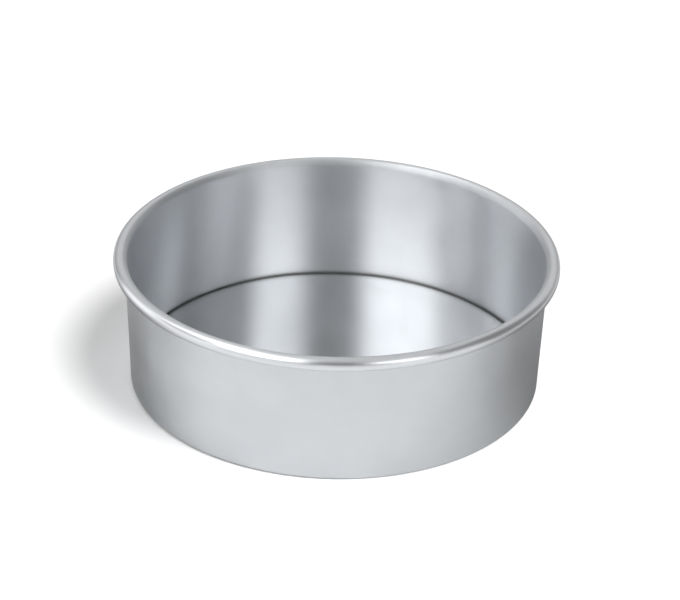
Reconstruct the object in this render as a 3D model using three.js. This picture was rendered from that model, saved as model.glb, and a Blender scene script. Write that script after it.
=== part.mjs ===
// Round cake pan with a loose base. A drawn aluminium wall carries a curled, wired rim at the top
// and an inturned ledge at the foot. A flat base lies on the ledge and is pushed up to free the cake.
// Millimetres and degrees, +Z up, origin at the centre of the foot.

import * as THREE from 'three';

// Driving dimensions of the wall
const MOUTH_DIAMETER = 228.6;
const PAN_HEIGHT = 76.2;
const SHEET = 1.2;
const WALL_DRAFT = 2;
const FOOT_BEND = 1;
const LEDGE_WIDTH = 7;

// Driving dimensions of the rim
const WIRE_DIAMETER = 4.4;
const WIRE_CLEARANCE = 0.3;
const WIRE_JOINT_GAP = 1.5;
const CURL_SLIT = 0.4;

// Driving dimensions of the base
const BASE_THICKNESS = 2;
const BASE_SIDE_CLEARANCE = 0.8;
const BASE_SEAT_CLEARANCE = 0.3;
const BASE_TOP_EDGE = 0.4;

// Fineness of the facets
const AROUND = 72;
const ARC_STEP = 20;
const WIRE_SIDES = 12;

// The wall leans out by its draft: this points out of the pan, square to the sheet
const draft = THREE.MathUtils.degToRad(WALL_DRAFT);
const wallNormal = new THREE.Vector2(Math.cos(draft), -Math.sin(draft));

// The curl wraps the wire, and its inner side runs into the inside of the wall at the mouth
const curlHollow = WIRE_DIAMETER / 2 + WIRE_CLEARANCE;
const curlRadius = curlHollow + SHEET;
const curlCentre = new THREE.Vector2(MOUTH_DIAMETER / 2 + curlRadius, PAN_HEIGHT - curlRadius);

// Where the inside of the wall leaves the curl, and its radius at any height below
const wallTop = curlCentre.clone().addScaledVector(wallNormal, -curlRadius);
const insideRadius = (height) => wallTop.x + (height - wallTop.y) * Math.tan(draft);

// The bend at the foot turns the sheet from the wall into the ledge
const bendHeight = SHEET + FOOT_BEND;
const bendCentre = new THREE.Vector2(
  insideRadius(bendHeight) - FOOT_BEND / wallNormal.x,
  bendHeight,
);

// Points along an arc in the radius and height plane, with both ends
function arc(centre, radius, from, to) {
  const curve = new THREE.EllipseCurve(centre.x, centre.y, radius, radius, from, to, to < from);
  const sweep = THREE.MathUtils.radToDeg(Math.abs(to - from));
  return curve.getPoints(Math.ceil(sweep / ARC_STEP));
}

function turned(profile) {
  return new THREE.LatheGeometry(profile, AROUND);
}

function metal(color, roughness) {
  return new THREE.MeshStandardMaterial({ color, roughness, metalness: 1 });
}

function named(name, geometry, material) {
  const mesh = new THREE.Mesh(geometry, material);
  mesh.name = name;
  return mesh;
}

// One sheet from the ledge's edge, round the foot, up the wall and round the curl.
// The curl stops just short of the wall, so the hollow that holds the wire stays open there.
function panWall() {
  const down = -Math.PI / 2;
  const curlStart = Math.PI - draft;
  const curlEnd = -Math.acos((CURL_SLIT - curlHollow) / curlRadius) - draft;
  const ledgeEdge = bendCentre.x - LEDGE_WIDTH;
  const profile = [
    new THREE.Vector2(ledgeEdge, 0),
    ...arc(bendCentre, FOOT_BEND + SHEET, down, -draft),
    ...arc(curlCentre, curlHollow, curlStart, curlEnd),
    ...arc(curlCentre, curlRadius, curlEnd, curlStart),
    ...arc(bendCentre, FOOT_BEND, -draft, down),
    new THREE.Vector2(ledgeEdge, SHEET),
    new THREE.Vector2(ledgeEdge, 0),
  ];
  return named('pan_wall', turned(profile), metal(0xc6c7c9, 0.32));
}

// The wire runs round the middle of the curl, and its two cut ends face each other at the back
class WireHoop extends THREE.Curve {
  getPoint(t, target = new THREE.Vector3()) {
    const jointAngle = WIRE_JOINT_GAP / curlCentre.x;
    const angle = -Math.PI / 2 + jointAngle / 2 + t * (2 * Math.PI - jointAngle);
    return target.set(
      curlCentre.x * Math.cos(angle),
      curlCentre.y,
      curlCentre.x * Math.sin(angle),
    );
  }
}

function rimWire() {
  const section = new THREE.Shape().absarc(0, 0, WIRE_DIAMETER / 2, 0, 2 * Math.PI);
  const geometry = new THREE.ExtrudeGeometry(section, {
    extrudePath: new WireHoop(),
    steps: AROUND,
    curveSegments: WIRE_SIDES / 2,
  });
  return named('rim_wire', geometry, metal(0x9c9da0, 0.4));
}

// A flat plate whose lower edge is rounded like the bend that it drops into
function looseBase() {
  const underside = SHEET + BASE_SEAT_CLEARANCE;
  const top = underside + BASE_THICKNESS;
  const radius = insideRadius(underside) - BASE_SIDE_CLEARANCE;
  const lowerEdge = new THREE.Vector2(radius - FOOT_BEND, underside + FOOT_BEND);
  const upperEdge = new THREE.Vector2(radius - BASE_TOP_EDGE, top - BASE_TOP_EDGE);
  const profile = [
    new THREE.Vector2(0, underside),
    ...arc(lowerEdge, FOOT_BEND, -Math.PI / 2, 0),
    ...arc(upperEdge, BASE_TOP_EDGE, 0, Math.PI / 2),
    new THREE.Vector2(0, top),
  ];
  return named('loose_base', turned(profile), metal(0xcfd0d1, 0.25));
}

// The pieces are turned about Y, and the pan stands on +Z
const cakePan = new THREE.Group();
cakePan.rotation.x = Math.PI / 2;
cakePan.add(panWall(), rimWire(), looseBase());

export default cakePan;
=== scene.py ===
# %% [markdown]
# # A round cake pan with a loose base
#
# The pan is three pieces of metal: a drawn aluminium wall whose top edge is curled over a steel wire,
# and a flat aluminium base that lies on a ledge inside the foot. The construction is already settled in
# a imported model, so this lesson only makes the surfaces: smooth meshes at the same sizes, metal finishes,
# and a plain bright table to look at them on. We start by loading that model as a fixed frame.

from math import acos, cos, pi, radians, sin, tan

import bmesh
import bpy
from mathutils import Matrix, Vector


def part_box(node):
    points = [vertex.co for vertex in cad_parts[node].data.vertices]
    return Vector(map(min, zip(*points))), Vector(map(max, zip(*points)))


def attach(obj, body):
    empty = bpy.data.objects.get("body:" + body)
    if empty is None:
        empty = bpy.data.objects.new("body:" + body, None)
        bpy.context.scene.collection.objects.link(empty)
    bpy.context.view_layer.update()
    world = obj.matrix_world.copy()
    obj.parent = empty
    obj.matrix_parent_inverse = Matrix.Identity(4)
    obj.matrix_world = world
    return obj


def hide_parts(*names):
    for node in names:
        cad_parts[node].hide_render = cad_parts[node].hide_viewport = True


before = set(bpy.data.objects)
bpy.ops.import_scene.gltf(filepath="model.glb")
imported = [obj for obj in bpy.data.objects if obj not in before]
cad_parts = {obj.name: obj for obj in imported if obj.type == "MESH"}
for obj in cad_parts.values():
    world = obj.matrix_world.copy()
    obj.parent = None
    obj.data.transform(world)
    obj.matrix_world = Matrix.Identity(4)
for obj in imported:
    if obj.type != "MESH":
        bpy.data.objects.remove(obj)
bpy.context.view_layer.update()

# %% [markdown]
# ## The sizes
#
# Blender works in metres here, and a sheet-metal worker thinks in millimetres, so one short factor turns
# one into the other. The overall sizes come from the frame. The sheet, the wire and the small clearances
# are too fine to read off a box, so they are written down as the maker would.

# %% Sizes of the three pieces
MM = 0.001
SHEET = 1.2 * MM
WALL_DRAFT = radians(2)
FOOT_BEND = 1.0 * MM
LEDGE_WIDTH = 7.0 * MM
WIRE_RADIUS = 2.2 * MM
WIRE_CLEARANCE = 0.3 * MM
WIRE_JOINT_GAP = 1.5 * MM
CURL_SLIT = 0.4 * MM

wall_low, wall_high = (Vector(corner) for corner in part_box("pan_wall"))
base_low, base_high = (Vector(corner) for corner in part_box("loose_base"))
rim_radius = wall_high.x
pan_height = wall_high.z
print("rim across", round(2 * rim_radius / MM, 1), "mm, height", round(pan_height / MM, 1), "mm")

# %% [markdown]
# ## The wall: one sheet, bent
#
# The real wall starts as flat sheet. It is drawn into a cup, the bottom is cut out to leave a ledge, and
# the top edge is rolled round a wire. We can follow the same steps: draw the middle line of the sheet from
# the ledge to the end of the curl, turn it round the axis, and only then give it its thickness. A closed
# outline of both faces would work too, but the middle line is shorter, and the sheet is then equally thick
# everywhere, as pressed metal nearly is.
#
# The line is grown from a single vertex. A straight stretch is an extruded vertex, and a bend is a spin
# about the bend's centre.

# %% Middle line of the sheet
FOOT_BEND_STEPS = 10
CURL_STEPS = 48


def straight_to(bm, vert, radius, height):
    """Extrude one vertex of the outline to a new radius and height."""
    end = bmesh.ops.extrude_vert_indiv(bm, verts=[vert])["verts"][0]
    end.co = (radius, 0, height)
    return end


def bend(bm, vert, centre, angle, steps):
    """Spin one vertex of the outline about a centre, in the plane of the outline."""
    made = bmesh.ops.spin(
        bm, geom=[vert], cent=centre, axis=(0, 1, 0), angle=angle, steps=steps, use_duplicate=False
    )
    return next(item for item in made["geom_last"] if isinstance(item, bmesh.types.BMVert))


half_sheet = SHEET / 2
curl_hollow = WIRE_RADIUS + WIRE_CLEARANCE
curl_radius = curl_hollow + half_sheet
bead_radius = curl_hollow + SHEET
curl_centre = Vector((rim_radius - bead_radius, 0, pan_height - bead_radius))
curl_turn = pi + acos((CURL_SLIT - curl_hollow) / bead_radius)

wall_normal = Vector((cos(WALL_DRAFT), 0, -sin(WALL_DRAFT)))
wall_top = curl_centre - curl_radius * wall_normal
bend_radius = FOOT_BEND + half_sheet
bend_height = FOOT_BEND + SHEET
wall_at_bend = wall_top.x + (bend_height - wall_top.z) * tan(WALL_DRAFT)
bend_centre = Vector((wall_at_bend - bend_radius / wall_normal.x, 0, bend_height))
ledge_edge = bend_centre.x - LEDGE_WIDTH

sheet_bm = bmesh.new()
tip = sheet_bm.verts.new((ledge_edge, 0, half_sheet))
tip = straight_to(sheet_bm, tip, bend_centre.x, half_sheet)
tip = bend(sheet_bm, tip, bend_centre, WALL_DRAFT - pi / 2, FOOT_BEND_STEPS)
foot_of_wall = tip
tip = straight_to(sheet_bm, tip, wall_top.x, wall_top.z)
wall_line = sheet_bm.edges.get((foot_of_wall, tip))
tip = bend(sheet_bm, tip, curl_centre, curl_turn, CURL_STEPS)
print("outline points", len(sheet_bm.verts), "sheet ends", [round(v / MM, 2) for v in tip.co])

# %% [markdown]
# ## A helper that finishes a mesh
#
# Every piece ends in the same way. Doubled vertices are merged, the faces are made to point outwards, and
# the bmesh becomes an object. If there are modifiers, we take the mesh that they make and drop them, so
# that the piece is plain geometry. Smooth shading comes last.

# %% Finish a mesh
MERGE_DISTANCE = 0.001 * MM


def finished_mesh(bm, name, modifiers=()):
    """Turn a bmesh into an object, apply its modifiers and shade it smooth."""
    bmesh.ops.remove_doubles(bm, verts=bm.verts[:], dist=MERGE_DISTANCE)
    bmesh.ops.recalc_face_normals(bm, faces=bm.faces[:])
    mesh = bpy.data.meshes.new(name)
    bm.to_mesh(mesh)
    bm.free()
    obj = bpy.data.objects.new(name, mesh)
    bpy.context.collection.objects.link(obj)
    for kind, settings in modifiers:
        modifier = obj.modifiers.new(kind.title(), kind)
        for setting, value in settings.items():
            setattr(modifier, setting, value)
    if modifiers:
        evaluated = obj.evaluated_get(bpy.context.evaluated_depsgraph_get())
        obj.data = bpy.data.meshes.new_from_object(evaluated)
        obj.data.name = name
        obj.modifiers.clear()
        bpy.data.meshes.remove(mesh)
    obj.data.shade_smooth()
    print(name, len(obj.data.polygons), "faces")
    return obj


# %% [markdown]
# ## Turning the sheet and giving it thickness
#
# One full spin about Z makes the wall, and the last copy is merged into the first. Before the spin we cut
# the long straight stretch into rows: a long face next to a tight bend would smear its shading up the
# whole wall. A Solidify modifier then thickens the sheet evenly to both sides of the middle line, and a
# Bevel modifier eases the two cut edges, which on a real pan are deburred so that nobody gets hurt.

# %% Turn the wall
TURN_STEPS = 288
WALL_ROWS = 40
CUT_EDGE_EASE = 0.2 * MM
CUT_EDGE_STEPS = 3
SHARP_EDGE = radians(50)

bmesh.ops.subdivide_edges(sheet_bm, edges=[wall_line], cuts=WALL_ROWS)
bmesh.ops.spin(
    sheet_bm, geom=sheet_bm.verts[:] + sheet_bm.edges[:], cent=(0, 0, 0), axis=(0, 0, 1),
    angle=2 * pi, steps=TURN_STEPS, use_merge=True,
)
pan_wall = finished_mesh(sheet_bm, "pan_wall_sheet", [
    ("SOLIDIFY", {"thickness": SHEET, "offset": 0.0, "use_even_offset": True}),
    ("BEVEL", {
        "width": CUT_EDGE_EASE, "segments": CUT_EDGE_STEPS,
        "limit_method": "ANGLE", "angle_limit": SHARP_EDGE,
    }),
])
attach(pan_wall, "pan")
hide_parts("pan_wall")

# %% [markdown]
# ## The wire in the rim
#
# Nobody sees the wire, but it is why the rim is so fat and round: a hoop that is open at top and bottom
# needs a stiff edge. It is a length of round steel wire, bent into a hoop with its two cut ends facing
# each other. A torus would have no ends, so we spin a circle not quite all the way round and cap it.

# %% Wire hoop
WIRE_SIDES = 20
joint_angle = WIRE_JOINT_GAP / curl_centre.x
wire_start = pi / 2 + joint_angle / 2

wire_bm = bmesh.new()
to_joint = Matrix.Rotation(wire_start, 4, "Z")
stand_up = Matrix.Translation(curl_centre) @ Matrix.Rotation(pi / 2, 4, "X")
bmesh.ops.create_circle(
    wire_bm, cap_ends=True, radius=WIRE_RADIUS, segments=WIRE_SIDES, matrix=to_joint @ stand_up
)
bmesh.ops.spin(
    wire_bm, geom=wire_bm.faces[:], cent=(0, 0, 0), axis=(0, 0, 1),
    angle=2 * pi - joint_angle, steps=TURN_STEPS // 2, use_duplicate=False,
)
rim_wire = finished_mesh(wire_bm, "rim_wire_hoop")
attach(rim_wire, "pan")
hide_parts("rim_wire")

# %% [markdown]
# ## The loose base
#
# The base is stamped from flat plate. Its lower edge is rounded to drop into the bend of the ledge, and
# its upper edge is only eased. A disc, extruded and beveled twice, is exactly that. Each flat face gets a
# narrow inset ring beside the bevel, so that the smooth shading of the round edge stops there and the
# plate stays truly flat.

# %% Base plate
BASE_TOP_EDGE = 0.4 * MM
LOWER_EDGE_STEPS = 8
UPPER_EDGE_STEPS = 6
FLAT_MARGIN = 0.3 * MM
LEVEL = 0.01 * MM
base_radius = base_high.x
base_thickness = base_high.z - base_low.z

base_bm = bmesh.new()
bmesh.ops.create_circle(
    base_bm, cap_ends=True, radius=base_radius, segments=TURN_STEPS,
    matrix=Matrix.Translation((0, 0, base_low.z)),
)
raised = bmesh.ops.extrude_face_region(base_bm, geom=base_bm.faces[:])["geom"]
raised_verts = [item for item in raised if isinstance(item, bmesh.types.BMVert)]
bmesh.ops.translate(base_bm, verts=raised_verts, vec=(0, 0, base_thickness))


def edge_ring(bm, height):
    """The ring of edges that lies at one height."""
    return [edge for edge in bm.edges if all(abs(vert.co.z - height) < LEVEL for vert in edge.verts)]


for ring_height, round_off, steps in (
    (base_low.z, FOOT_BEND, LOWER_EDGE_STEPS),
    (base_high.z, BASE_TOP_EDGE, UPPER_EDGE_STEPS),
):
    bmesh.ops.bevel(
        base_bm, geom=edge_ring(base_bm, ring_height), offset=round_off, offset_type="OFFSET",
        segments=steps, profile=0.5, affect="EDGES", material=-1,
    )
plate_faces = [face for face in base_bm.faces if len(face.verts) == TURN_STEPS]
for plate_face in plate_faces:
    bmesh.ops.inset_region(base_bm, faces=[plate_face], thickness=FLAT_MARGIN)
loose_base = finished_mesh(base_bm, "loose_base_plate")
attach(loose_base, "base")
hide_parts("loose_base")

# %% [markdown]
# ## Small helpers for nodes
#
# Node trees are wordy in code, so three helpers keep the rest readable. The first is a Math node whose
# inputs may be sockets or numbers. The second is a fade from 0 to 1 between two values, which masks use
# all the time. The third gives a point's distance from the pan's axis, since the whole pan is round.

# %% Node helpers
def math_node(nodes, links, operation, *values):
    """A Math node whose inputs are sockets or numbers; returns its output."""
    node = nodes.new("ShaderNodeMath")
    node.operation = operation
    for socket, value in zip(node.inputs, values):
        if isinstance(value, bpy.types.NodeSocket):
            links.new(value, socket)
        else:
            socket.default_value = value
    return node.outputs[0]


def fade(nodes, links, value, start, end, smooth=True):
    """A value that goes from 0 at the start to 1 at the end; returns its output."""
    node = nodes.new("ShaderNodeMapRange")
    node.interpolation_type = "SMOOTHSTEP" if smooth else "LINEAR"
    node.inputs["From Min"].default_value = start
    node.inputs["From Max"].default_value = end
    links.new(value, node.inputs["Value"])
    return node.outputs[0]


def radius_and_place(nodes, links):
    """The distance from the pan's axis, and a node that gives X, Y and Z."""
    place = nodes.new("ShaderNodeTexCoord")
    parts = nodes.new("ShaderNodeSeparateXYZ")
    links.new(place.outputs["Object"], parts.inputs[0])
    flat = nodes.new("ShaderNodeVectorMath")
    flat.operation = "MULTIPLY"
    flat.inputs[1].default_value = (1, 1, 0)
    links.new(place.outputs["Object"], flat.inputs[0])
    from_axis = nodes.new("ShaderNodeVectorMath")
    from_axis.operation = "LENGTH"
    links.new(flat.outputs[0], from_axis.inputs[0])
    return from_axis.outputs["Value"], parts


print("helpers", math_node.__name__, fade.__name__, radius_and_place.__name__)

# %% [markdown]
# ## Turning marks
#
# Metal that was drawn and polished on a lathe keeps very fine lines that run round the axis. All the
# finishes use them, so they are a node group. The pattern is a noise that changes fast with radius and
# height and only slowly round the pan. Reading X and Y for the slow part, and not an angle, means that
# there is no seam where a full turn closes.

# %% Turning marks as a node group
LINE_DETAIL = 2.0


def turning_marks_group():
    """Fine lines that run round the pan's axis."""
    group = bpy.data.node_groups.new("turning_marks", "ShaderNodeTree")
    group.interface.new_socket("Lines per metre", in_out="INPUT", socket_type="NodeSocketFloat")
    group.interface.new_socket("Changes round", in_out="INPUT", socket_type="NodeSocketFloat")
    group.interface.new_socket("Lines", in_out="OUTPUT", socket_type="NodeSocketFloat")
    nodes, links = group.nodes, group.links
    given = nodes.new("NodeGroupInput")
    result = nodes.new("NodeGroupOutput")
    fine = given.outputs["Lines per metre"]
    slow = given.outputs["Changes round"]
    radius, parts = radius_and_place(nodes, links)
    line_place = nodes.new("ShaderNodeCombineXYZ")
    links.new(math_node(nodes, links, "MULTIPLY", radius, fine), line_place.inputs["X"])
    links.new(math_node(nodes, links, "MULTIPLY", parts.outputs["Z"], fine), line_place.inputs["Y"])
    links.new(math_node(nodes, links, "MULTIPLY", parts.outputs["X"], slow), line_place.inputs["Z"])
    noise = nodes.new("ShaderNodeTexNoise")
    noise.noise_dimensions = "4D"
    noise.inputs["Scale"].default_value = 1.0
    noise.inputs["Detail"].default_value = LINE_DETAIL
    links.new(line_place.outputs[0], noise.inputs["Vector"])
    links.new(math_node(nodes, links, "MULTIPLY", parts.outputs["Y"], slow), noise.inputs["W"])
    links.new(noise.outputs["Fac"], result.inputs["Lines"])
    return group


turning_marks = turning_marks_group()
print("node group", turning_marks.name)

# %% [markdown]
# ## Handling marks
#
# Aluminium is soft. Fingers and cloths leave cloudy patches that are a little duller than the rest, and
# stacking leaves a few short hair scratches. Both are masks that only change roughness and colour by a
# little. The cloud is a soft noise with more contrast, and the scratches are where a stretched noise
# crosses its middle value, which gives thin lines. They are kept to the brighter patches of the cloud.

# %% Handling marks as a node group
CLOUD_SIZE = 30 * MM
CLOUD_DETAIL = 3.0
CLOUD_DARK, CLOUD_LIGHT = 0.35, 0.65
SCRATCH_TURN = (0.4, 0.9, 0.6)
SCRATCH_STRETCH = (220.0, 30.0, 60.0)
SCRATCH_WIDTH = 0.012
SCRATCH_PATCHES = 0.56


def handling_marks_group():
    """Cloudy patches and a few hair scratches."""
    group = bpy.data.node_groups.new("handling_marks", "ShaderNodeTree")
    group.interface.new_socket("Cloud", in_out="OUTPUT", socket_type="NodeSocketFloat")
    group.interface.new_socket("Scratches", in_out="OUTPUT", socket_type="NodeSocketFloat")
    nodes, links = group.nodes, group.links
    result = nodes.new("NodeGroupOutput")
    place = nodes.new("ShaderNodeTexCoord")
    cloud = nodes.new("ShaderNodeTexNoise")
    cloud.inputs["Scale"].default_value = 1 / CLOUD_SIZE
    cloud.inputs["Detail"].default_value = CLOUD_DETAIL
    links.new(place.outputs["Object"], cloud.inputs["Vector"])
    contrast = fade(nodes, links, cloud.outputs["Fac"], CLOUD_DARK, CLOUD_LIGHT, smooth=False)
    links.new(contrast, result.inputs["Cloud"])
    stretch = nodes.new("ShaderNodeMapping")
    stretch.inputs["Rotation"].default_value = SCRATCH_TURN
    stretch.inputs["Scale"].default_value = SCRATCH_STRETCH
    links.new(place.outputs["Object"], stretch.inputs["Vector"])
    hair = nodes.new("ShaderNodeTexNoise")
    hair.inputs["Scale"].default_value = 1.0
    links.new(stretch.outputs[0], hair.inputs["Vector"])
    off_middle = math_node(nodes, links, "SUBTRACT", hair.outputs["Fac"], 0.5)
    band = math_node(nodes, links, "ABSOLUTE", off_middle)
    thin = fade(nodes, links, band, SCRATCH_WIDTH, 0.0, smooth=False)
    patches = math_node(nodes, links, "GREATER_THAN", cloud.outputs["Fac"], SCRATCH_PATCHES)
    links.new(math_node(nodes, links, "MULTIPLY", thin, patches), result.inputs["Scratches"])
    return group


handling_marks = handling_marks_group()
print("node group", handling_marks.name)

# %% [markdown]
# ## Painted shade in the corner
#
# The corner where the base meets the wall lies in shade, and from above that reads as a thin dark ring
# round the floor. This shade is painted into the colour of both pieces, so it is a node group too: a mask
# that is 1 in that corner and fades away from it, further over the floor than up the wall. We divide each
# direction by its own reach, and the length of what is left is the distance to fade over.

# %% Painted corner shade as a node group
CORNER_SHADE_OVER_FLOOR = 7.0 * MM
CORNER_SHADE_UP_WALL = 3.2 * MM
CORNER_SHADE_FADE = 3.0
corner_radius = base_high.x
corner_height = base_high.z


def painted_corner_shade_group():
    """A mask of painted shade that is 1 where the base meets the wall."""
    group = bpy.data.node_groups.new("painted_corner_shade", "ShaderNodeTree")
    group.interface.new_socket("Painted shade", in_out="OUTPUT", socket_type="NodeSocketFloat")
    nodes, links = group.nodes, group.links
    result = nodes.new("NodeGroupOutput")
    radius, parts = radius_and_place(nodes, links)
    out = math_node(nodes, links, "SUBTRACT", radius, corner_radius)
    up = math_node(nodes, links, "SUBTRACT", parts.outputs["Z"], corner_height)
    from_corner = nodes.new("ShaderNodeCombineXYZ")
    links.new(math_node(nodes, links, "DIVIDE", out, CORNER_SHADE_OVER_FLOOR), from_corner.inputs["X"])
    links.new(math_node(nodes, links, "DIVIDE", up, CORNER_SHADE_UP_WALL), from_corner.inputs["Y"])
    distance = nodes.new("ShaderNodeVectorMath")
    distance.operation = "LENGTH"
    links.new(from_corner.outputs[0], distance.inputs[0])
    close = fade(nodes, links, distance.outputs["Value"], 1.0, 0.0, smooth=False)
    links.new(math_node(nodes, links, "POWER", close, CORNER_SHADE_FADE), result.inputs["Painted shade"])
    return group


painted_corner_shade = painted_corner_shade_group()
print("node group", painted_corner_shade.name, "at radius", round(corner_radius / MM, 1), "mm")

# %% [markdown]
# ## Bare metal
#
# Bare aluminium is a metal with a pale, slightly cool colour. What makes it read as drawn sheet and not as
# a mirror is its roughness. Where a punch has rubbed the sheet, it is much greater across the turning
# marks than along them. The Principled shader calls that anisotropy: its tangent runs round the axis, and
# a quarter turn points the wide blur across the lines. The marks change colour and roughness a little, and
# the lines are also a very low bump.

# %% Metal with marks
LINE_TINT = 0.4
LINE_ROUGHNESS = 0.10
CLOUD_ROUGHNESS = 0.05
SCRATCH_ROUGHNESS = 0.06
LINE_CHANGES = 12.0
QUARTER_TURN = 0.25


def metal_material(name, colour, dull_colour, roughness, anisotropy, line_spacing, line_height):
    """A bare metal with turning marks and handling marks."""
    material = bpy.data.materials.new(name)
    material.use_nodes = True
    nodes, links = material.node_tree.nodes, material.node_tree.links
    shader = nodes["Principled BSDF"]
    shader.inputs["Metallic"].default_value = 1.0
    shader.inputs["Anisotropic"].default_value = anisotropy
    shader.inputs["Anisotropic Rotation"].default_value = QUARTER_TURN
    round_axis = nodes.new("ShaderNodeTangent")
    round_axis.direction_type = "RADIAL"
    round_axis.axis = "Z"
    links.new(round_axis.outputs[0], shader.inputs["Tangent"])
    turned = nodes.new("ShaderNodeGroup")
    turned.node_tree = turning_marks
    turned.inputs["Lines per metre"].default_value = 1 / line_spacing
    turned.inputs["Changes round"].default_value = LINE_CHANGES
    lines = turned.outputs["Lines"]
    handled = nodes.new("ShaderNodeGroup")
    handled.node_tree = handling_marks
    cloud = handled.outputs["Cloud"]

    tint = nodes.new("ShaderNodeMix")
    tint.data_type = "RGBA"
    tint.inputs["A"].default_value = (*dull_colour, 1)
    tint.inputs["B"].default_value = (*colour, 1)
    line_tint = math_node(nodes, links, "MULTIPLY", lines, LINE_TINT)
    mixed_tint = math_node(nodes, links, "MULTIPLY_ADD", cloud, 1 - LINE_TINT, line_tint)
    links.new(mixed_tint, tint.inputs["Factor"])
    links.new(tint.outputs["Result"], shader.inputs["Base Color"])

    smoothest = roughness - (LINE_ROUGHNESS + CLOUD_ROUGHNESS) / 2
    lined = math_node(nodes, links, "MULTIPLY_ADD", lines, LINE_ROUGHNESS, smoothest)
    clouded = math_node(nodes, links, "MULTIPLY_ADD", cloud, CLOUD_ROUGHNESS, lined)
    scratches = handled.outputs["Scratches"]
    scratched = math_node(nodes, links, "MULTIPLY_ADD", scratches, SCRATCH_ROUGHNESS, clouded)
    links.new(scratched, shader.inputs["Roughness"])

    bump = nodes.new("ShaderNodeBump")
    bump.inputs["Strength"].default_value = 1.0
    bump.inputs["Distance"].default_value = line_height
    links.new(lines, bump.inputs["Height"])
    links.new(bump.outputs["Normal"], shader.inputs["Normal"])
    print("material", name)
    return material


# %% [markdown]
# ## Painted shade and wear
#
# Two things are laid over a finished metal. Painted shade darkens its colour in the corner where the base
# meets
# the wall. The rim has two sides: the roller that curls it burnishes the outside and the top, and knives
# and cloths leave the inner side of the bead dull. Each helper takes what already feeds a socket of the
# shader, mixes in the change, and feeds the socket again.

# %% Painted shade in the corner, and the rim
# The colour of the painted shade in the corner.
PAINTED_CORNER_SHADE_COLOUR = (0.20, 0.195, 0.19)
RIM_OUTSIDE_ROUGHNESS = 0.28
RIM_INSIDE_ROUGHNESS = 0.55


def paint_corner_shade(material):
    """Paint shade into the metal's colour in the corner where the base meets the wall."""
    nodes, links = material.node_tree.nodes, material.node_tree.links
    colour_in = nodes["Principled BSDF"].inputs["Base Color"]
    shade_node = nodes.new("ShaderNodeGroup")
    shade_node.node_tree = painted_corner_shade
    # Mix the painted corner shade into the base colour.
    shaded = nodes.new("ShaderNodeMix")
    shaded.data_type = "RGBA"
    links.new(shade_node.outputs["Painted shade"], shaded.inputs["Factor"])
    links.new(colour_in.links[0].from_socket, shaded.inputs["A"])
    shaded.inputs["B"].default_value = (*PAINTED_CORNER_SHADE_COLOUR, 1)
    links.new(shaded.outputs["Result"], colour_in)
    print(material.name, "soiled in the corner")


def finish_rim(material):
    """Dull the inner side of the bead and burnish its outer side."""
    nodes, links = material.node_tree.nodes, material.node_tree.links
    roughness_in = nodes["Principled BSDF"].inputs["Roughness"]
    radius, parts = radius_and_place(nodes, links)
    dull_from, dull_to = curl_centre.z - half_sheet, curl_centre.z + SHEET
    shiny_from, shiny_to = curl_centre.x - 2 * SHEET, curl_centre.x - half_sheet
    dull = fade(nodes, links, parts.outputs["Z"], dull_from, dull_to)
    shiny = fade(nodes, links, radius, shiny_from, shiny_to)
    for side, roughness in ((dull, RIM_INSIDE_ROUGHNESS), (shiny, RIM_OUTSIDE_ROUGHNESS)):
        rubbed = nodes.new("ShaderNodeMix")
        rubbed.data_type = "FLOAT"
        links.new(side, rubbed.inputs["Factor"])
        links.new(roughness_in.links[0].from_socket, rubbed.inputs["A"])
        rubbed.inputs["B"].default_value = roughness
        links.new(rubbed.outputs["Result"], roughness_in)
    print(material.name, "rim finished")


# %% [markdown]
# ## The four finishes
#
# Inside, the wall is rubbed by the punch, so its blur runs up and down and the room shows in it as
# upright bands. Outside it has only touched the die and is an even, duller satin. The base is plate with a
# finer polish, so it mirrors the wall more sharply. The wire is galvanised and grey.

# %% Aluminium and wire
WALL_COLOUR, WALL_DULL = (0.79, 0.81, 0.83), (0.73, 0.745, 0.77)
OUTSIDE_COLOUR, OUTSIDE_DULL = (0.73, 0.75, 0.77), (0.66, 0.68, 0.70)
BASE_COLOUR, BASE_DULL = (0.81, 0.825, 0.84), (0.76, 0.775, 0.79)
WIRE_COLOUR, WIRE_DULL = (0.60, 0.61, 0.63), (0.45, 0.46, 0.48)

inside = metal_material(
    "drawn_aluminium_inside", WALL_COLOUR, WALL_DULL,
    roughness=0.37, anisotropy=0.88, line_spacing=1.6 * MM, line_height=0.004 * MM,
)
outside = metal_material(
    "satin_aluminium_outside", OUTSIDE_COLOUR, OUTSIDE_DULL,
    roughness=0.48, anisotropy=0.3, line_spacing=1.6 * MM, line_height=0.004 * MM,
)
plate = metal_material(
    "base_plate_aluminium", BASE_COLOUR, BASE_DULL,
    roughness=0.14, anisotropy=0.2, line_spacing=1.1 * MM, line_height=0.002 * MM,
)
galvanised = metal_material(
    "galvanised_wire", WIRE_COLOUR, WIRE_DULL,
    roughness=0.45, anisotropy=0.0, line_spacing=0.8 * MM, line_height=0.006 * MM,
)
paint_corner_shade(inside)
paint_corner_shade(plate)
finish_rim(inside)

# %% [markdown]
# ## Finishes on the pieces
#
# The base and the wire have one finish each. The wall has two on one mesh, so it gets two material slots,
# and each face is told which one to use: a face that points outwards below the bead gets the second. The
# bead itself keeps the first one, whose roughness already changes across it.

# %% Finishes on the pieces
for piece, finishes in ((pan_wall, (inside, outside)), (loose_base, (plate,)), (rim_wire, (galvanised,))):
    piece.data.materials.clear()
    for finish in finishes:
        piece.data.materials.append(finish)
    print(piece.name, "finish", [finish.name for finish in finishes])

bead_foot = pan_height - 2 * bead_radius
for face in pan_wall.data.polygons:
    outward = face.normal.x * face.center.x + face.normal.y * face.center.y
    face.material_index = int(outward > 0 and face.center.z < bead_foot)
print("outside faces", sum(face.material_index for face in pan_wall.data.polygons))

# %% [markdown]
# ## The table
#
# The pan stands on a plain white table that fills the view. The table is a diffuse white, so it takes the
# pan's soft shadow. One large face is enough.

# %% Table
TABLE_HALF = 6.0

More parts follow.
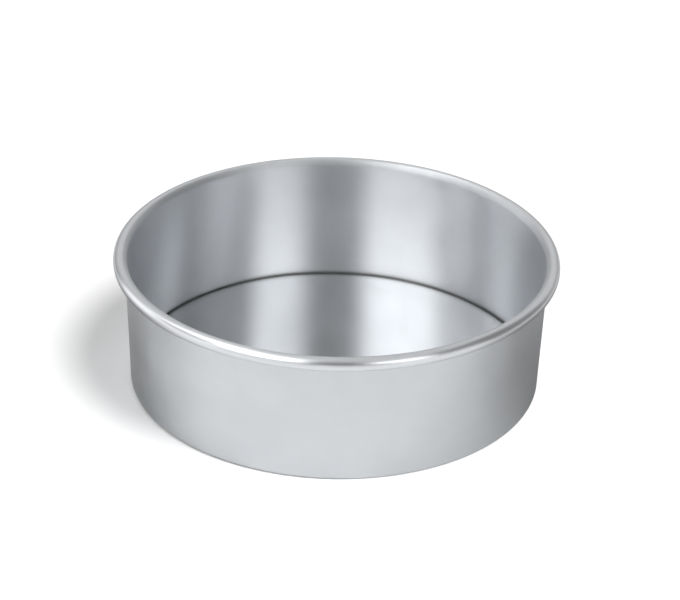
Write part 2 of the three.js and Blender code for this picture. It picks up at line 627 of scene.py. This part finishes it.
table_bm = bmesh.new()
bmesh.ops.create_grid(table_bm, x_segments=1, y_segments=1, size=TABLE_HALF)
table = finished_mesh(table_bm, "table")

# %% [markdown]
# ## The table's white and its painted light
#
# A little glow that only the camera sees lifts the table to the paper white of a catalogue page. What the
# metal sees of the table matters even more, because the outside of the wall mirrors the hand's breadth in
# front of it. So the table has a second colour for glossy rays only, with light and shade painted into it:
# a painted pool of light in front of the pan, and painted shade, grey, close beside and behind it, as a
# table is that is lit from the front. A colour ramp along Y does that, with a slight slant because the
# front light comes more from the left. Further from the pan, more painted light turns the table pale again
# on every side, so that the pan looks like light metal from the back too.

# %% Table's white and painted light
TABLE_WHITE = 0.92
TABLE_GLOW = 0.18
TABLE_SLANT = 0.07
TABLE_FRONT = -0.20
TABLE_BACK = 0.30
TABLE_FAR_PAINTED_LIGHT = 0.75
TABLE_NEAR = 0.22
TABLE_FAR = 0.36
TABLE_PAINTED_LIGHT_IN_METAL = (
    #     metres behind the pan's middle, painted brightness in the metal
    (-0.16, 0.93),
    (0.005, 0.22),
    (0.09, 0.22),
    (0.20, 0.50),
)

white = bpy.data.materials.new("table_white")
white.use_nodes = True
table.data.materials.append(white)
nodes, links = white.node_tree.nodes, white.node_tree.links
table_shader = nodes["Principled BSDF"]
table_shader.inputs["Roughness"].default_value = 1.0
table_shader.inputs["Specular IOR Level"].default_value = 0.0
table_shader.inputs["Emission Color"].default_value = (1, 1, 1, 1)

table_place = nodes.new("ShaderNodeTexCoord")
table_parts = nodes.new("ShaderNodeSeparateXYZ")
links.new(table_place.outputs["Object"], table_parts.inputs[0])
across, behind = table_parts.outputs["X"], table_parts.outputs["Y"]
# Painted pool of light in front of the pan and painted shade close beside and behind it, seen only by
# glossy rays.
depth = math_node(nodes, links, "MULTIPLY_ADD", across, TABLE_SLANT, behind)
painted_pool = nodes.new("ShaderNodeValToRGB")
ramp = painted_pool.color_ramp
ramp.interpolation = "EASE"
for number, (metres, whiteness) in enumerate(TABLE_PAINTED_LIGHT_IN_METAL):
    along = (metres - TABLE_FRONT) / (TABLE_BACK - TABLE_FRONT)
    stop = ramp.elements[number] if number < len(ramp.elements) else ramp.elements.new(along)
    stop.position = along
    stop.color = (whiteness, whiteness, whiteness, 1)
links.new(fade(nodes, links, depth, TABLE_FRONT, TABLE_BACK, smooth=False), painted_pool.inputs["Fac"])

# Painted light that turns the table pale again far from the pan, for glossy rays.
from_axis, _ = radius_and_place(nodes, links)
far = fade(nodes, links, from_axis, TABLE_NEAR, TABLE_FAR)
far_painted_light = math_node(nodes, links, "MULTIPLY", far, TABLE_FAR_PAINTED_LIGHT)
rays = nodes.new("ShaderNodeLightPath")
paper_and_painted_light = nodes.new("ShaderNodeMix")
paper_and_painted_light.data_type = "FLOAT"
paper_and_painted_light.inputs["A"].default_value = TABLE_WHITE
links.new(rays.outputs["Is Glossy Ray"], paper_and_painted_light.inputs["Factor"])
links.new(math_node(nodes, links, "MAXIMUM", far_painted_light, painted_pool.outputs[0]), paper_and_painted_light.inputs["B"])
links.new(paper_and_painted_light.outputs["Result"], table_shader.inputs["Base Color"])
camera_glow = math_node(nodes, links, "MULTIPLY", rays.outputs["Is Camera Ray"], TABLE_GLOW)
links.new(camera_glow, table_shader.inputs["Emission Strength"])
print("table stops", len(ramp.elements))

# %% [markdown]
# ## The room
#
# Metal has hardly any look of its own: it shows the room. So the room is the main tool here: a dim grey
# studio with soft panels, placed by their angle to the side of the camera and above the horizon. Two of
# them stand in front, one to the left and one to the right, and the dark gap between them is the dark band
# down the middle of the pan. The lower and upper ones light the sides of the inner wall, and the pale ones
# behind keep the back from going black. Real lamp objects would do as well, but a panel in the world has
# no distance, so it stays where it is in every view.

# %% Panels of the room
ROOM_GREY = 0.22
ROOM_FILL = 0.30
PANELS = (
    # left edge, right edge, lowest, highest, softness, brightness; degrees, + is right of the camera
    (-62, -16, 20, 44, 8, 2.45),
    (-125, -20, 44, 68, 8, 2.3),
    (-130, -58, -2, 18, 8, 1.2),
    (-132, -100, 18, 44, 8, 1.0),
    (19, 50, 20, 42, 7, 2.6),
    (30, 76, -2, 20, 7, 0.55),
    (-200, -140, 12, 56, 8, 0.45),
    (130, 200, 12, 56, 8, 0.45),
    (-200, 200, 56, 100, 8, 0.45),
)


def soft_window(nodes, links, value, low, high, edge):
    """1 between low and high degrees, fading to 0 over the edge on either side."""
    rise = fade(nodes, links, value, radians(low - edge), radians(low + edge))
    fall = fade(nodes, links, value, radians(high + edge), radians(high - edge))
    return math_node(nodes, links, "MULTIPLY", rise, fall)


print("panels", len(PANELS))

# %% [markdown]
# ## The world's nodes
#
# The world is asked for a brightness in every direction. Two angles follow from that direction, and each
# panel is a soft window in both, added to the grey of the room. Then come two exceptions. Diffuse rays
# see one even grey, so that the table's shadow doesn't depend on the panels, and the camera sees white.

# %% Studio world
world = bpy.data.worlds.new("studio")
bpy.context.scene.world = world
world.use_nodes = True
nodes, links = world.node_tree.nodes, world.node_tree.links
background = nodes["Background"]
background.inputs["Color"].default_value = (1, 1, 1, 1)
direction = nodes.new("ShaderNodeTexCoord")
heading = nodes.new("ShaderNodeSeparateXYZ")
links.new(direction.outputs["Generated"], heading.inputs[0])
toward_camera = math_node(nodes, links, "MULTIPLY", heading.outputs["Y"], -1.0)
azimuth = math_node(nodes, links, "ARCTAN2", heading.outputs["X"], toward_camera)
elevation = math_node(nodes, links, "ARCSINE", heading.outputs["Z"])
room = ROOM_GREY
for left, right, low, high, soft, brightness in PANELS:
    wide = soft_window(nodes, links, azimuth, left, right, soft)
    tall = soft_window(nodes, links, elevation, low, high, soft)
    panel = math_node(nodes, links, "MULTIPLY", wide, tall)
    room = math_node(nodes, links, "MULTIPLY_ADD", panel, brightness, room)
rays = nodes.new("ShaderNodeLightPath")
for ray_kind, brightness in (("Is Diffuse Ray", ROOM_FILL), ("Is Camera Ray", 1.0)):
    seen = nodes.new("ShaderNodeMix")
    seen.data_type = "FLOAT"
    links.new(rays.outputs[ray_kind], seen.inputs["Factor"])
    links.new(room, seen.inputs["A"])
    seen.inputs["B"].default_value = brightness
    room = seen.outputs["Result"]
links.new(room, background.inputs["Strength"])
print("world", world.name, len(nodes), "nodes")

# %% [markdown]
# ## The key light
#
# A wide, soft sun from the right and a little in front lays the pale shadow to the left of the pan. Its
# spread is what makes the shadow's edge so soft. Glossy rays don't see it, because a sun would show in the
# metal as a hard bright spot, and the panels already do that work.

# %% Soft key light
KEY_STRENGTH = 2.5
KEY_SPREAD = radians(24)
KEY_ELEVATION = radians(60)
KEY_AZIMUTH = radians(50)

key_data = bpy.data.lights.new("key", "SUN")
key_data.energy = KEY_STRENGTH
key_data.angle = KEY_SPREAD
key = bpy.data.objects.new("key", key_data)
bpy.context.collection.objects.link(key)
key.visible_glossy = False
key_level = Vector((sin(KEY_AZIMUTH), -cos(KEY_AZIMUTH), 0))
key_from = cos(KEY_ELEVATION) * key_level + sin(KEY_ELEVATION) * Vector((0, 0, 1))
key.rotation_euler = key_from.to_track_quat("Z", "Y").to_euler()
print("key light from", [round(part, 2) for part in key_from])

# %% [markdown]
# ## The camera
#
# A product picture is taken from far away with a long lens, so that the round rim stays nearly an ellipse.
# The camera looks down at about 28 degrees, is turned a little about its own line of sight, and sits a few
# millimetres off the pan's middle, because the picture isn't framed dead centre.

# %% Camera
VIEW_DISTANCE = 1.4604
VIEW_ELEVATION = radians(28.405)
VIEW_ROLL = 0.0261
VIEW_RIGHT = 2.46 * MM
VIEW_UP = 6.57 * MM
LENS = 140.16

back = Vector((0, -cos(VIEW_ELEVATION), sin(VIEW_ELEVATION)))
level_right = Vector((1, 0, 0))
level_up = back.cross(level_right)
view_right = cos(VIEW_ROLL) * level_right + sin(VIEW_ROLL) * level_up
view_up = cos(VIEW_ROLL) * level_up - sin(VIEW_ROLL) * level_right
middle = Vector((0, 0, pan_height / 2))
eye = middle + VIEW_DISTANCE * back + VIEW_RIGHT * view_right + VIEW_UP * view_up

camera_data = bpy.data.cameras.new("camera")
camera_data.lens = LENS
camera = bpy.data.objects.new("camera", camera_data)
bpy.context.collection.objects.link(camera)
facing = Matrix((view_right, view_up, back)).transposed().to_4x4()
camera.matrix_world = Matrix.Translation(eye) @ facing
bpy.context.scene.camera = camera
bpy.context.scene.view_settings.view_transform = "Standard"
print("camera at", [round(part, 3) for part in eye])
